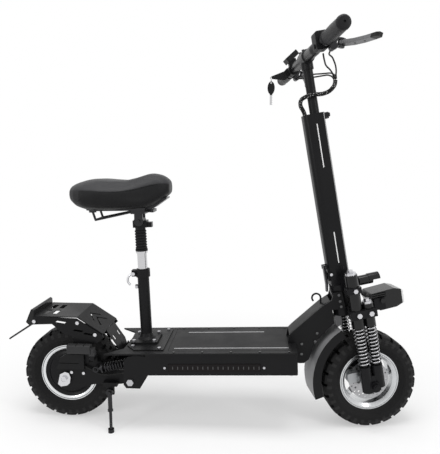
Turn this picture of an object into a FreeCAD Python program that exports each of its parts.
import FreeCAD, Part
import math
import os

# Seated electric scooter, in millimetres. X points forwards, Y to the left, Z up, and the ground is at
# height 0. Heights and lengths below are worked out from the rear axle, which stands at X 0.

# Wheels
TYRE_RADIUS = 145.0
BLOCK_DEPTH = 19.0
TYRE_HALF_WIDTH = 44.0
CROWN_HALF_WIDTH = 27.0
RIM_RADIUS = 92.0
RIM_HALF_WIDTH = 33.5
KNOB_DEPTH = 6.0
KNOBS_ROUND = 24
WHEELBASE = 935.0
AXLE_RADIUS = 7.0
DISC_RADIUS = 62.0
DISC_THICKNESS = 2.0

# Deck, in its own slope: u runs forwards along its top, w up from its top
DECK_SLOPE_DEG = 1.8
DECK_TOP_AT_REAR_AXLE = 240.0
DECK_FRONT = 714.0
DECK_REAR = 262.0
DECK_HALF_WIDTH = 108.0
DECK_DEPTH = 69.0
DECK_WALL = 5.0
PLATE_THICKNESS = 5.0
WING_TIP = 140.0
WING_ROOT = 190.0
WING_ROOT_HALF_WIDTH = 70.0

# Swing arm and rear shock absorbers
PIVOT_X = 218.0
PIVOT_Z = 157.0
PIVOT_RADIUS = 8.0
ARM_INNER = 60.0
ARM_THICKNESS = 8.0
SHOCK_REAR_X = 106.0
SHOCK_REAR_Z = 184.0
SHOCK_FRONT_X = 224.0
SHOCK_FRONT_Z = 209.0
SHOCK_Y = 84.0
SHOCK_RADIUS = 15.0
SWING_TRAVEL_DEG = 8.0

# Steering and fork, in their own frame: s runs up the steering axis from the middle of the head tube,
# f forwards from it
HEAD_X = 850.0
HEAD_Z = 400.0
RAKE_DEG = 10.3
STEER_DEG = 9.5
LEG_SPREAD = 65.0
REAR_LEG_F = 19.0
FRONT_LEG_F = 55.0
FORK_TRAVEL = 25.0
UPPER_CROWN_S = 40.0
LOWER_CROWN_S = -50.0
CROWN_THICKNESS = 18.0
HEAD_TUBE_HALF = 26.0
SPRING_TOP_S = -80.0
SPRING_BOTTOM_S = -200.0
SPRING_RADIUS = 15.5
SPRING_WIRE = 4.2
SPRING_TURNS = 11

# Stem and handlebar
FOLD_S = 80.0
FOLD_F = -24.0
STEM_BASE_S = 76.0
STEM_TOP_S = 554.0
STEM_DEPTH = 58.0
STEM_WIDTH = 54.0
STEM_WALL = 4.0
POST_RADIUS = 14.0
BAR_S = 714.0
BAR_F = 9.0
BAR_HALF_LENGTH = 314.0
BAR_RADIUS = 15.9
GRIP_RADIUS = 17.0
GRIP_LENGTH = 122.0
LEVER_PIVOT_Y = 172.0
LEVER_PIVOT_F = 38.0

# Seat pillar, in the deck's slope
SEAT_U = 246.0
SEAT_TUBE_RADIUS = 18.0
SEAT_POST_RADIUS = 15.0
SEAT_TUBE_TOP = 234.0
BELLOWS_BOTTOM = 290.0
BELLOWS_TOP = 356.0
BELLOWS_RADIUS = 19.0
BELLOWS_RIBS = 7
SEAT_ROD_RADIUS = 11.0
TILT_AXIS_W = 384.0

# Saddle, in the scooter's own frame
SADDLE_REAR = 38.0
SADDLE_FRONT = 336.0

# Side stand
STAND_X = 147.0
STAND_Y = -88.0
STAND_Z = 112.0
STAND_FOOT_X = 157.0
STAND_FOOT_Y = -118.0

# Wheel details
RACK_Y = 71.0
SHOCK_EYE = 9.0
SHOCK_PIN = 4.0
SHOCK_OPEN_GAP = 1.4
PEG_X = 97.0
PEG_Y = 86.0
PEG_Z = 248.0

# Rear end details
STAND_EAR_INNER = 76.0
STAND_EAR_OUTER = 84.0
STAND_PIN = 5.0
PEG_PIN = 4.0
RACK_SHEET = 3.0
RACK_TOP_Z = 343.5

# Deck, neck and seat details
STRIP_START = 332.0
STRIP_END = 606.0
STRIP_MIDDLE = -45.0
NECK_Y = 30.0
NECK_SHEET = 6.0
NECK_NOTCH = 34.0
HOOK_X = 777.0
HOOK_Z = 396.0
HOOK_REACH = 13.0
HOOK_WIRE = 2.8
BEARING_HEIGHT = 8.0
BEARING_RADIUS = 21.0
STEERER_RADIUS = 14.0
SEAT_TUBE_FLOOR = 30.0
SEAT_POST_FOOT = 90.0
SEAT_SPRUNG_TRAVEL = 30.0
TILT_BOLT = 5.0
RAIL_RADIUS = 3.5

# Fork, lamps and stem details
SADDLE_PAN_TOP = 675.7
SADDLE_PAN_LOW = 669.0
INNER_LEG = 11.0
CROWN_MIDDLE = 29.0
KNUCKLE = 8.0
SPOT_F = 62.0
SPOT_S = 38.0
FOLD_PIN = 4.5
LAMP_F = 112.0
LAMP_S = -24.0
LAMP_HALF = 34.0
LAMP_PIN = 4.0
FRONT_DISC_Y = -27.0
LATCH_F = -35.5
LATCH_S = 102.0
LATCH_HALF = 6.0
CLAMP_F = 38.0
CLAMP_S = 544.0

# Handlebar details
THIN_BAR_RADIUS = 11.1
LEVER_PIN = 3.0
LEVER_DROOP = 25.0
KEY_RING_RADIUS = 8.0
KEY_RING_WIRE = 0.8
LOOM_RADIUS = 6.0

# Fits
RUNNING_GAP = 0.05
SEAT_GAP = 0.3

V = FreeCAD.Vector
ALONG_X = V(1, 0, 0)
ALONG_Y = V(0, 1, 0)
ALONG_Z = V(0, 0, 1)

nodes = {}


def node(name, *solids):
    """Keep one sub-part, made of one solid or of a group of separate ones."""
    pieces = [solid for shape in solids for solid in shape.Solids]
    nodes[name] = Part.makeCompound(pieces) if len(pieces) > 1 else pieces[0]


def box(x0, x1, y0, y1, z0, z1):
    return Part.makeBox(x1 - x0, y1 - y0, z1 - z0, V(x0, y0, z0))


def rod(start, end, radius):
    run = end - start
    return Part.makeCylinder(radius, run.Length, start, run)


def tube(start, end, outer, inner):
    return rod(start, end, outer).cut(rod(start, end, inner))


def cross_rod(x, z, y0, y1, radius):
    return rod(V(x, y0, z), V(x, y1, z), radius)


def cross_tube(x, z, y0, y1, outer, inner):
    return tube(V(x, y0, z), V(x, y1, z), outer, inner)


def side_plate(outline, y0, y1):
    """A plate cut to an outline of (x, z) points, standing from y0 to y1."""
    wire = Part.makePolygon([V(x, y0, z) for x, z in outline + outline[:1]])
    return Part.Face(wire).extrude(V(0, y1 - y0, 0))


def flat_plate(outline, z0, z1):
    """A plate cut to an outline of (x, y) points, lying from z0 to z1."""
    wire = Part.makePolygon([V(x, y, z0) for x, y in outline + outline[:1]])
    return Part.Face(wire).extrude(V(0, 0, z1 - z0))


def turned(profile, base, axis):
    """A round piece from (radius, height) points, turned about an axis through its base."""
    wire = Part.makePolygon([V(r, 0, h) for r, h in profile + profile[:1]])
    shape = Part.Face(wire).revolve(V(0, 0, 0), ALONG_Z, 360)
    shape.Placement = FreeCAD.Placement(base, FreeCAD.Rotation(ALONG_Z, axis))
    return shape


def joined(*shapes):
    result = shapes[0]
    for shape in shapes[1:]:
        result = result.fuse(shape)
    return result.removeSplitter()


def mirrored(shape):
    return shape.mirror(V(0, 0, 0), ALONG_Y)


def both_sides(shape):
    return [shape, mirrored(shape)]


def rounded(shape, radius, along):
    """The shape with its straight edges along one direction rounded."""
    edges = []
    for edge in shape.Edges:
        straight = isinstance(edge.Curve, Part.Line)
        if straight and abs(edge.tangentAt(edge.FirstParameter).dot(along)) > 0.999:
            edges.append(edge)
    return shape.makeFillet(radius, edges)


def hex_bolt(seat, direction, head_radius, head_height):
    """A hexagon head on its seat, pointing along a direction."""
    corners = []
    for i in range(7):
        angle = math.radians(60 * i)
        corners.append(V(head_radius * math.cos(angle), head_radius * math.sin(angle), 0))
    head = Part.Face(Part.makePolygon(corners)).extrude(V(0, 0, head_height))
    head.Placement = FreeCAD.Placement(seat, FreeCAD.Rotation(ALONG_Z, direction))
    return head


def moved(shape, placement):
    copy = shape.copy()
    copy.Placement = placement.multiply(copy.Placement)
    return copy


def rotated(shape, centre, axis, degrees):
    copy = shape.copy()
    copy.rotate(centre, axis, degrees)
    return copy


def shifted(shape, step):
    copy = shape.copy()
    copy.translate(step)
    return copy


# The deck's slope, and the steering head's lean and turn, as placements
on_deck = FreeCAD.Placement(V(0, 0, DECK_TOP_AT_REAR_AXLE), FreeCAD.Rotation(ALONG_Y, -DECK_SLOPE_DEG))
head_lean = FreeCAD.Placement(V(HEAD_X, 0, HEAD_Z), FreeCAD.Rotation(ALONG_Y, -RAKE_DEG))
head_turn = FreeCAD.Placement(V(0, 0, 0), FreeCAD.Rotation(ALONG_Z, STEER_DEG))
on_head = head_lean.multiply(head_turn)


def deck_point(u, y, w):
    return on_deck.multVec(V(u, y, w))


def head_point(f, y, s):
    return on_head.multVec(V(f, y, s))


def wheel_in_head_frame():
    """The front wheel's centre in the steering frame, before the steering is turned."""
    return head_lean.inverse().multVec(V(WHEELBASE, 0, TYRE_RADIUS))


def arc_from(start, tangent_meet, end):
    """The arc from start to end whose end tangents meet at a point."""
    middle = (start + end) * 0.5
    half_chord = (end - start).Length / 2
    rise = (tangent_meet - middle).Length
    half_angle = math.atan2(rise, half_chord)
    through = middle + (tangent_meet - middle) * (math.tan(half_angle / 2) / math.tan(half_angle))
    return Part.Arc(start, through, end).toShape()


def biarc(start, start_way, end, end_way):
    """Two tangent arcs that leave start and reach end in the given directions."""
    chord = end - start
    ways = start_way + end_way
    spread = 2 * (1 - start_way.dot(end_way))
    reach = (math.sqrt(chord.dot(ways) ** 2 + spread * chord.dot(chord)) - chord.dot(ways)) / spread
    first_meet = start + start_way * reach
    second_meet = end - end_way * reach
    joint = (first_meet + second_meet) * 0.5
    return [arc_from(start, first_meet, joint), arc_from(joint, second_meet, end)]


def arc_rod(centre, reach, start_deg, end_deg, radius):
    """A round bar bent to a part of a circle that stands in an X-Z plane, in two equal arcs."""
    points = []
    for i in range(5):
        angle = math.radians(start_deg + (end_deg - start_deg) * i / 4)
        points.append(centre + V(reach * math.cos(angle), 0, reach * math.sin(angle)))
    path = Part.Wire([Part.Arc(*points[:3]).toShape(), Part.Arc(*points[2:]).toShape()])
    way = (points[0] - centre).cross(ALONG_Y) * (1 if end_deg < start_deg else -1)
    section = Part.Wire(Part.makeCircle(radius, points[0], way))
    shell = Part.BRepOffsetAPI.MakePipeShell(path)
    shell.add(section)
    shell.build()
    shell.makeSolid()
    return shell.shape()


def coil_spring(base, direction, length, radius, wire, turns):
    """A round spring of one unbroken wire between two ends, each straight for one wire width."""
    rise = (length - wire) / (1 + wire / (math.pi * radius * turns))
    tail = (length - wire - rise) / 2
    pitch = rise / turns
    climb = math.atan2(pitch, 2 * math.pi * radius)

    def place(half_turn):
        angle = math.pi * half_turn
        height = wire / 2 + tail + pitch * half_turn / 2
        return V(radius * math.cos(angle), radius * math.sin(angle), height)

    def way(half_turn):
        angle = math.pi * half_turn
        flat = V(-math.sin(angle), math.cos(angle), 0) * math.cos(climb)
        return flat + V(0, 0, math.sin(climb))

    edges = [Part.LineSegment(place(0) - way(0) * wire, place(0)).toShape()]
    for i in range(2 * turns):
        edges += biarc(place(i), way(i), place(i + 1), way(i + 1))
    end = place(2 * turns)
    edges.append(Part.LineSegment(end, end + way(2 * turns) * wire).toShape())
    path = Part.Wire(edges)
    start = edges[0].Vertexes[0].Point
    section = Part.Wire(Part.makeCircle(wire / 2, start, way(0)))
    shell = Part.BRepOffsetAPI.MakePipeShell(path)
    shell.add(section)
    shell.build()
    shell.makeSolid()
    spring = shell.shape()
    print("spring: turns", turns, "gap between turns", round(pitch * math.cos(climb) - wire, 2),
          "volume over section times length", round(spring.Volume / (path.Length * math.pi * wire ** 2 / 4), 4))
    spring.Placement = FreeCAD.Placement(base, FreeCAD.Rotation(ALONG_Z, direction))
    return spring


# Wheels, each made about the Y axis at the origin
CARCASS_RADIUS = TYRE_RADIUS - BLOCK_DEPTH


def tyre():
    """A flat-crowned tyre with knobs left standing between its cut grooves."""
    shoulder = TYRE_RADIUS - 3
    lip = RIM_RADIUS + SEAT_GAP
    half = [
        (RIM_RADIUS - 8, RIM_HALF_WIDTH - 14), (RIM_RADIUS - 8, RIM_HALF_WIDTH - 5 - SEAT_GAP),
        (lip, RIM_HALF_WIDTH - 3 - SEAT_GAP), (lip, RIM_HALF_WIDTH + SEAT_GAP),
        (RIM_RADIUS + 20, TYRE_HALF_WIDTH), (shoulder - 14, TYRE_HALF_WIDTH),
        (shoulder, TYRE_HALF_WIDTH - 6), (TYRE_RADIUS, CROWN_HALF_WIDTH),
    ]
    inside = [
        (CARCASS_RADIUS, 24), (CARCASS_RADIUS - 8, TYRE_HALF_WIDTH - 9),
        (RIM_RADIUS + 20, TYRE_HALF_WIDTH - 9), (RIM_RADIUS + 6, RIM_HALF_WIDTH - 10),
    ]
    right = inside + half
    left = [(r, -y) for r, y in reversed(right)]
    profile = right + left
    body = turned(profile, V(0, 0, 0), ALONG_Y)
    low = TYRE_RADIUS - KNOB_DEPTH
    high = TYRE_RADIUS + 2
    grooves = []
    for i in range(KNOBS_ROUND):
        edge_angle = 360.0 * (i + 0.5) / KNOBS_ROUND
        middle_angle = edge_angle + 180.0 / KNOBS_ROUND
        for side in (-1, 1):
            y0, y1 = sorted((side * 16.0, side * (TYRE_HALF_WIDTH + 2)))
            grooves.append(rotated(box(-4.5, 4.5, y0, y1, low - 5, high), V(0, 0, 0), ALONG_Y, edge_angle))
        grooves.append(rotated(box(-4, 4, -12, 12, low, high), V(0, 0, 0), ALONG_Y, middle_angle))
    return body.cut(Part.makeCompound(grooves))


def rim_barrel(inner_radius, web_half_width):
    """The rim's hoop: two lips, bead seats and a dropped middle."""
    r = RIM_RADIUS
    w = RIM_HALF_WIDTH
    profile = [
        (r, -w), (r, -w + 3), (r - 8.3, -w + 5), (r - 10, -12), (r - 14, -8), (r - 14, 8),
        (r - 10, 12), (r - 8.3, w - 5), (r, w - 3), (r, w), (r - 8, w), (inner_radius + 3, w - 7),
        (inner_radius, web_half_width), (inner_radius, -web_half_width), (inner_radius + 3, -w + 7),
        (r - 8, -w),
    ]
    return turned(profile, V(0, 0, 0), ALONG_Y)


def front_wheel():
    """The cast rim with its spokes and hub, open between the spokes."""
    barrel = rim_barrel(RIM_RADIUS - 19, 12)
    hub = cross_tube(0, 0, -24, 24, 22, AXLE_RADIUS + RUNNING_GAP)
    spokes = []
    for i in range(5):
        outline = [(-9, 18), (-6, RIM_RADIUS - 18), (6, RIM_RADIUS - 18), (9, 18)]
        spokes.append(rotated(side_plate(outline, -7, 7), V(0, 0, 0), ALONG_Y, 72 * i + 20))
    return joined(barrel, hub, *spokes)


def brake_disc(y, inner, bolt_ring):
    """A vented disc on its centre, held by bolts round the hub."""
    disc = cross_tube(0, 0, y, y + DISC_THICKNESS, DISC_RADIUS, inner)
    holes = []
    for i in range(18):
        angle = math.radians(20 * i)
        for ring, size in ((DISC_RADIUS - 6, 2.6), (DISC_RADIUS - 15, 3.2)):
            turn = angle + (0.17 if ring < DISC_RADIUS - 10 else 0)
            x = ring * math.sin(turn)
            z = ring * math.cos(turn)
            holes.append(cross_rod(x, z, y - 1, y + DISC_THICKNESS + 1, size))
    windows = []
    for i in range(6):
        angle = math.radians(60 * i + 30)
        ring = bolt_ring + 9
        windows.append(cross_rod(ring * math.sin(angle), ring * math.cos(angle), y - 1, y + 3, 6))
    return disc.cut(Part.makeCompound(holes + windows))


def rear_hub_shell():
    """The hub motor's round body, with a hollow for the winding and a bore for the axle."""
    outer = RIM_RADIUS - 22
    bore = AXLE_RADIUS + RUNNING_GAP
    profile = [
        (bore, -33), (22, -33), (26, -31), (outer - 6, -30), (outer, -26), (outer, 26),
        (outer - 6, 30), (26, 31), (22, 33), (bore, 33), (bore, 25), (outer - 8, 25),
        (outer - 8, -25), (bore, -25),
    ]
    return turned(profile, V(0, 0, 0), ALONG_Y)


REAR_AXLE = V(0, 0, TYRE_RADIUS)
TYRE = tyre()
node("rear_tyre", shifted(TYRE, REAR_AXLE))
node("rear_rim", shifted(rim_barrel(RIM_RADIUS - 22, 26), REAR_AXLE))
node("motor_shell", shifted(rear_hub_shell(), REAR_AXLE))
node("rear_disc", shifted(brake_disc(33.0, 21.0, 22), REAR_AXLE))


# Swing arm, with the parts that ride on it
PIVOT = V(PIVOT_X, 0, PIVOT_Z)
ARM_OUTER = ARM_INNER + ARM_THICKNESS
AXLE_END = ARM_OUTER + 14
SHOCK_REAR = V(SHOCK_REAR_X, 0, SHOCK_REAR_Z)
SHOCK_FRONT = V(SHOCK_FRONT_X, 0, SHOCK_FRONT_Z)
SHOCK_WAY = (SHOCK_FRONT - SHOCK_REAR).normalize()
SHOCK_LENGTH = (SHOCK_FRONT - SHOCK_REAR).Length


def swing_arm():
    """Two plates joined by a pivot sleeve and a bridge ahead of the tyre."""
    outline = [
        (-27, 124), (-27, 166), (-12, 188), (60, 200), (112, 200), (128, 184), (150, 174),
        (206, 176), (232, 171), (238, 157), (230, 139), (176, 130), (90, 126), (40, 112), (-8, 108),
    ]
    plate = side_plate(outline, ARM_INNER, ARM_OUTER)
    boss = cross_rod(0, TYRE_RADIUS, ARM_INNER, ARM_OUTER + 3, 17)
    stud = cross_rod(SHOCK_REAR_X, SHOCK_REAR_Z, ARM_OUTER - 1, SHOCK_Y + SHOCK_EYE, SHOCK_PIN)
    peg_post = box(PEG_X - 7, PEG_X + 7, ARM_OUTER - 3, PEG_Y + 8, 200 - 8, PEG_Z - 20)
    peg_post = peg_post.cut(box(PEG_X - 20, PEG_X + 20, ARM_OUTER, PEG_Y + 20, 180, PEG_Z - 34))
    side = joined(plate, boss, stud, peg_post)
    bridge = box(158, 182, -ARM_INNER, ARM_INNER, 138, 166)
    sleeve = cross_rod(PIVOT_X, PIVOT_Z, -ARM_INNER, ARM_INNER, 15)
    stand_ear = box(STAND_X - 22, STAND_X + 22, -STAND_EAR_OUTER, -ARM_INNER, 128, 140)
    stand_lug = box(STAND_X - 12, STAND_X + 12, -STAND_EAR_OUTER, -STAND_EAR_INNER, STAND_Z - 10, 129)
    whole = joined(side, mirrored(side), bridge, sleeve, stand_ear, stand_lug)
    holes = [
        cross_rod(PIVOT_X, PIVOT_Z, -100, 100, PIVOT_RADIUS + RUNNING_GAP),
        cross_rod(0, TYRE_RADIUS, -100, 100, AXLE_RADIUS + RUNNING_GAP),
        cross_rod(STAND_X, STAND_Z, -100, -50, STAND_PIN + RUNNING_GAP),
    ]
    for side_y in (-1, 1):
        centre = V(PEG_X, side_y * PEG_Y, 0)
        holes.append(rod(centre + V(0, 0, 150), centre + V(0, 0, 260), PEG_PIN + RUNNING_GAP))
    return whole.cut(Part.makeCompound(holes))


node("swing_arm", swing_arm())


def motor_cover(side):
    """The raised cover over the motor's lead on one arm plate."""
    outline = [(-22, 178), (-8, 215), (10, 226), (66, 226), (66, 178)]
    y0, y1 = sorted((side * (ARM_OUTER + 0.0), side * (ARM_OUTER + 11)))
    cover = side_plate(outline, y0, y1)
    groove = box(-30, 50, *sorted((side * (ARM_OUTER + 9), side * (ARM_OUTER + 12))), 196, 199)
    return cover.cut(groove)


node("motor_covers", motor_cover(-1), motor_cover(1))


def rear_axle():
    stator = cross_tube(0, TYRE_RADIUS, -22, 22, 58, AXLE_RADIUS + RUNNING_GAP)
    axle = cross_rod(0, TYRE_RADIUS, -AXLE_END, AXLE_END, AXLE_RADIUS)
    collars = [cross_tube(0, TYRE_RADIUS, y, y + 26.4, 12, AXLE_RADIUS + RUNNING_GAP)
               for y in (-ARM_INNER + 0.0, ARM_INNER - 26.4)]
    return [axle, stator] + collars


node("rear_axle", *rear_axle())


def rear_fasteners():
    """Axle locks, nuts and cover screws of the rear end."""
    pieces = []
    for side in (-1, 1):
        way = V(0, side, 0)
        face = side * (ARM_OUTER + 3)
        y0, y1 = sorted((face, face + side * 5))
        lock = side_plate([(-21, 127), (-12, 119), (8, 123), (17, 131), (20, 150), (15, 163), (3, 167),
                           (-13, 159)], y0, y1)
        lock = lock.cut(cross_rod(0, TYRE_RADIUS, -100, 100, AXLE_RADIUS + RUNNING_GAP))
        nut_seat = V(0, face + side * 5, TYRE_RADIUS)
        nut = hex_bolt(nut_seat, way, 10, 7)
        nut = nut.cut(cross_rod(0, TYRE_RADIUS, -100, 100, AXLE_RADIUS + RUNNING_GAP))
        pieces += [lock, nut]
        for x, z in ((22, 164), (60, 162)):
            pieces.append(hex_bolt(V(x, side * ARM_OUTER, z), way, 5, 3))
        for x, z in RACK_BOLTS:
            pieces.append(hex_bolt(V(x, side * (RACK_Y + RACK_SHEET), z), way, 6, 4))
    return pieces


RACK_BOLTS = [(-86, 328), (50, 326), (104, 290)]


def rack_side(side):
    """One side plate of the rack with its slots and the strut down to the swing arm."""
    outline = [(-90, 343), (-95, 317), (-31, 320), (0, 293), (60, 272), (108, 262), (130, 281),
               (125, 289), (47, 339)]
    inner, outer = RACK_Y, RACK_Y + RACK_SHEET
    y0, y1 = sorted((side * inner, side * outer))
    plate = side_plate(outline, y0, y1)
    strut = side_plate([(14, 196), (78, 196), (84, 240), (96, 275), (40, 290)],
                       *sorted((side * ARM_OUTER, side * inner)))
    strut = strut.cut(side_plate([(-24, 170), (-24, 226.3), (66.3, 226.3), (66.3, 170)],
                                 *sorted((side * (ARM_OUTER - 1), side * (inner + 9)))))
    slots = [side_plate([(x, z), (x + 6, z + 5), (x + 34, z + 1), (x + 28, z - 4)], -90, 90)
             for x, z in ((-20, 326), (34, 300), (66, 290))]
    return joined(plate, strut).cut(Part.makeCompound(slots))


def bent_sheet(outline, thickness, half_width):
    """A sheet bent along its length, from its upper (x, z) line."""
    lower = []
    for i, (x, z) in enumerate(outline):
        before = outline[max(i - 1, 0)]
        after = outline[min(i + 1, len(outline) - 1)]
        run = math.hypot(after[0] - before[0], after[1] - before[1])
        lower.append((x + (after[1] - before[1]) / run * thickness,
                      z - (after[0] - before[0]) / run * thickness))
    return side_plate(outline + lower[::-1], -half_width, half_width)


def rack_top():
    """The rack's bent top sheet with its windows and arrow slots."""
    sheet = bent_sheet([(-90.2, RACK_TOP_Z), (48, RACK_TOP_Z), (127, 292)], RACK_SHEET, RACK_Y - SEAT_GAP)
    windows = []
    for side in (-1, 1):
        y0, y1 = sorted((side * 8, side * 44))
        windows.append(box(-72, -56, y0, y1, 330, 350))
        windows.append(box(-44, -28, y0, y1, 330, 350))
        for i in range(2):
            near = 62 + 20 * i
            arrow = [(near, 0), (near + 22, side * 30), (near + 28, side * 30), (near + 6, 0)]
            windows.append(flat_plate(arrow, 290, 350))
    return sheet.cut(Part.makeCompound(windows))


node("rear_fasteners", *rear_fasteners())
guard = bent_sheet([(128.1, 291.3), (163, 240), (171, 214)], 2.5, 40)
guard_holes = [rod(V(146 + 14 * i, y, 240), V(120 + 14 * i, y, 225), 5) for i in (0, 1) for y in (-22, 22)]
guard_holes = [shifted(hole, V(0, 0, 26)) for hole in guard_holes]
node("rack_sides", rack_side(-1), rack_side(1), guard.cut(Part.makeCompound(guard_holes)))
node("rack_top", rack_top())


def tail_lamp():
    """The lamp bar behind the rack and the thin bracket below it."""
    lamp = side_plate([(-98, 364), (-117, 322), (-106, 312), (-95.5, 314), (-90.5, 342), (-90.5, 360)],
                      -RACK_Y + 4, RACK_Y - 4)
    lamp = rounded(lamp, 2.5, ALONG_Y)
    arm = side_plate([(-112, 309), (-196, 254), (-199, 250), (-195, 248.5), (-108, 305)], -26, -12)
    foot = box(-113, -101, -28, -10, 304, 313)
    return joined(lamp, arm, foot)


node("tail_lamp", tail_lamp())


def rear_caliper():
    """The rear brake's caliper round its disc, on a bracket from the swing arm."""
    body = box(28, 66, 24, ARM_INNER, TYRE_RADIUS - 20, TYRE_RADIUS + 14)
    slot = cross_rod(0, TYRE_RADIUS, 30.5, 37.5, DISC_RADIUS + 3)
    clear = cross_rod(0, TYRE_RADIUS, 20, 30.6, RIM_RADIUS)
    return body.cut(slot).cut(clear)


node("rear_caliper", rear_caliper())


def motor_lead():
    """The motor's lead from its cover, under the shock absorber, into the deck."""
    route = [
        V(67.5, -75, 188), V(92, -75, 176), V(112, -75, 165), V(142, -78, 163), V(172, -83, 170),
        V(204, -88, 180), V(236, -91, 186), V(261, -91, 187),
    ]
    return held_cable(route, 3.2, "motor lead")


def held_cable(route, radius, label):
    """A round cable along straight runs joined by tangent arcs, each as large as its runs allow."""
    edges = []
    radii = []
    last = route[0]
    for i in range(1, len(route) - 1):
        before = (route[i] - route[i - 1])
        after = (route[i + 1] - route[i])
        turn = before.getAngle(after)
        reach = 0.45 * min(before.Length, after.Length)
        radii.append(round(reach / math.tan(turn / 2), 1))
        first = route[i] - before.normalize() * reach
        second = route[i] + after.normalize() * reach
        edges.append(Part.LineSegment(last, first).toShape())
        edges.append(arc_from(first, route[i], second))
        last = second
    edges.append(Part.LineSegment(last, route[-1]).toShape())
    path = Part.Wire(edges)
    section = Part.Wire(Part.makeCircle(radius, route[0], route[1] - route[0]))
    shell = Part.BRepOffsetAPI.MakePipeShell(path)
    shell.add(section)
    shell.build()
    shell.makeSolid()
    cable = shell.shape()
    ratio = cable.Volume / (path.Length * math.pi * radius ** 2)
    print(label, "length", round(path.Length), "radii", radii, "volume ratio", round(ratio, 4))
    return cable


node("motor_lead", motor_lead())


# Side stand
def side_stand():
    """The stand's hinge head, its leg with a collar, and its foot flat on the ground."""
    head = cross_tube(STAND_X, STAND_Z, -STAND_EAR_OUTER - 8.3, -STAND_EAR_OUTER - SEAT_GAP, 11,
                      STAND_PIN + RUNNING_GAP)
    top = V(STAND_X, -STAND_EAR_OUTER - 4.3, STAND_Z - 8)
    foot = V(STAND_FOOT_X, STAND_FOOT_Y, 5)
    run = foot - top
    leg = rod(top, foot, 4.5)
    upper = rod(top, top + run * 0.42, 6.5)
    collar = rod(top + run * 0.40, top + run * 0.47, 8)
    pad = rod(V(foot.x, foot.y, 0), V(foot.x, foot.y, 11), 9)
    stand = joined(head, leg, upper, collar, pad)
    keep = box(STAND_X - 60, STAND_X + 60, -160, -STAND_EAR_OUTER - SEAT_GAP, 0, STAND_Z + 30)
    stand = stand.common(keep).cut(cross_rod(STAND_X, STAND_Z, -100, -80, STAND_PIN + RUNNING_GAP))
    pin = cross_rod(STAND_X, STAND_Z, -STAND_EAR_OUTER - 9, -STAND_EAR_INNER + 2, STAND_PIN)
    pin_head = hex_bolt(V(STAND_X, -STAND_EAR_OUTER - 8.6, STAND_Z), V(0, -1, 0), 6, 4)
    return [stand, joined(pin, pin_head)]


node("side_stand", *side_stand())


def foot_peg(side):
    """A folding foot peg, folded back along the swing arm."""
    head = box(PEG_X - 9, PEG_X + 9, PEG_Y - 8, PEG_Y + 8, PEG_Z - 20 + SEAT_GAP, PEG_Z - 8)
    head = joined(head, rod(V(PEG_X, PEG_Y, PEG_Z - 20 + SEAT_GAP), V(PEG_X, PEG_Y, PEG_Z + 4), 9))
    bar = box(PEG_X - 76, PEG_X - 4, PEG_Y - 11, PEG_Y + 11, PEG_Z - 14, PEG_Z + 14)
    bar = rounded(bar, 5, ALONG_X)
    grooves = [box(PEG_X - x - 1.2, PEG_X - x + 1.2, PEG_Y - 20, PEG_Y + 20, PEG_Z + 11, PEG_Z + 20)
               for x in (24, 48)]
    pin = rod(V(PEG_X, PEG_Y, PEG_Z - 33), V(PEG_X, PEG_Y, PEG_Z - 10), PEG_PIN)
    peg = joined(head, bar, pin).cut(Part.makeCompound(grooves))
    return peg if side > 0 else mirrored(peg)


node("foot_peg_near", foot_peg(-1))
node("foot_peg_far", foot_peg(1))


# Rear shock absorbers, a pair that turns about the front eyes
def shock_point(distance, y):
    """A point on a shock absorber's line, at a distance from its front eye."""
    return SHOCK_FRONT - SHOCK_WAY * distance + V(0, y, 0)


SHOCK_TUBE_END = SHOCK_LENGTH * 0.62
SHOCK_SPRING_SEAT = SHOCK_LENGTH - 24.0


def shock_front_half(y):
    eye = cross_tube(SHOCK_FRONT_X, SHOCK_FRONT_Z, y - 7, y + 7, SHOCK_EYE, SHOCK_PIN + RUNNING_GAP)
    body = rod(shock_point(8, y), shock_point(SHOCK_TUBE_END, y), 9.0)
    seat = rod(shock_point(16, y), shock_point(22, y), SHOCK_RADIUS)
    bore = rod(shock_point(24, y), shock_point(SHOCK_LENGTH, y), 5.0 + RUNNING_GAP)
    pin_room = cross_rod(SHOCK_FRONT_X, SHOCK_FRONT_Z, y - 9, y + 9, SHOCK_PIN + RUNNING_GAP)
    return joined(eye, body, seat).cut(bore).cut(pin_room)


def shock_rear_half(y):
    eye = cross_rod(SHOCK_REAR_X, SHOCK_REAR_Z, y - 6, y + 6, SHOCK_EYE)
    piston = rod(shock_point(SHOCK_LENGTH - 6, y), shock_point(40, y), 5.0)
    seat = rod(shock_point(SHOCK_SPRING_SEAT, y), shock_point(SHOCK_SPRING_SEAT + 5, y), SHOCK_RADIUS)
    pin_room = cross_rod(SHOCK_REAR_X, SHOCK_REAR_Z, y - 9, y + 9, SHOCK_PIN + SHOCK_OPEN_GAP)
    return joined(eye, piston, seat).cut(pin_room)


node("shock_cylinders", *[shock_front_half(y) for y in (-SHOCK_Y, SHOCK_Y)])
node("shock_rods", *[shock_rear_half(y) for y in (-SHOCK_Y, SHOCK_Y)])
SHOCK_SPRING_LENGTH = SHOCK_SPRING_SEAT - 22.0 - 2 * SEAT_GAP
node("shock_springs", *[
    coil_spring(shock_point(SHOCK_SPRING_SEAT - SEAT_GAP, y), SHOCK_WAY, SHOCK_SPRING_LENGTH, 12.5, 3.6, 8)
    for y in (-SHOCK_Y, SHOCK_Y)])


# Deck, built in its own slope and then laid on it
TRAY_INNER = DECK_HALF_WIDTH - DECK_WALL
EAR_INNER = DECK_HALF_WIDTH - DECK_WALL
TRAY_TOP = -PLATE_THICKNESS


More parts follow.
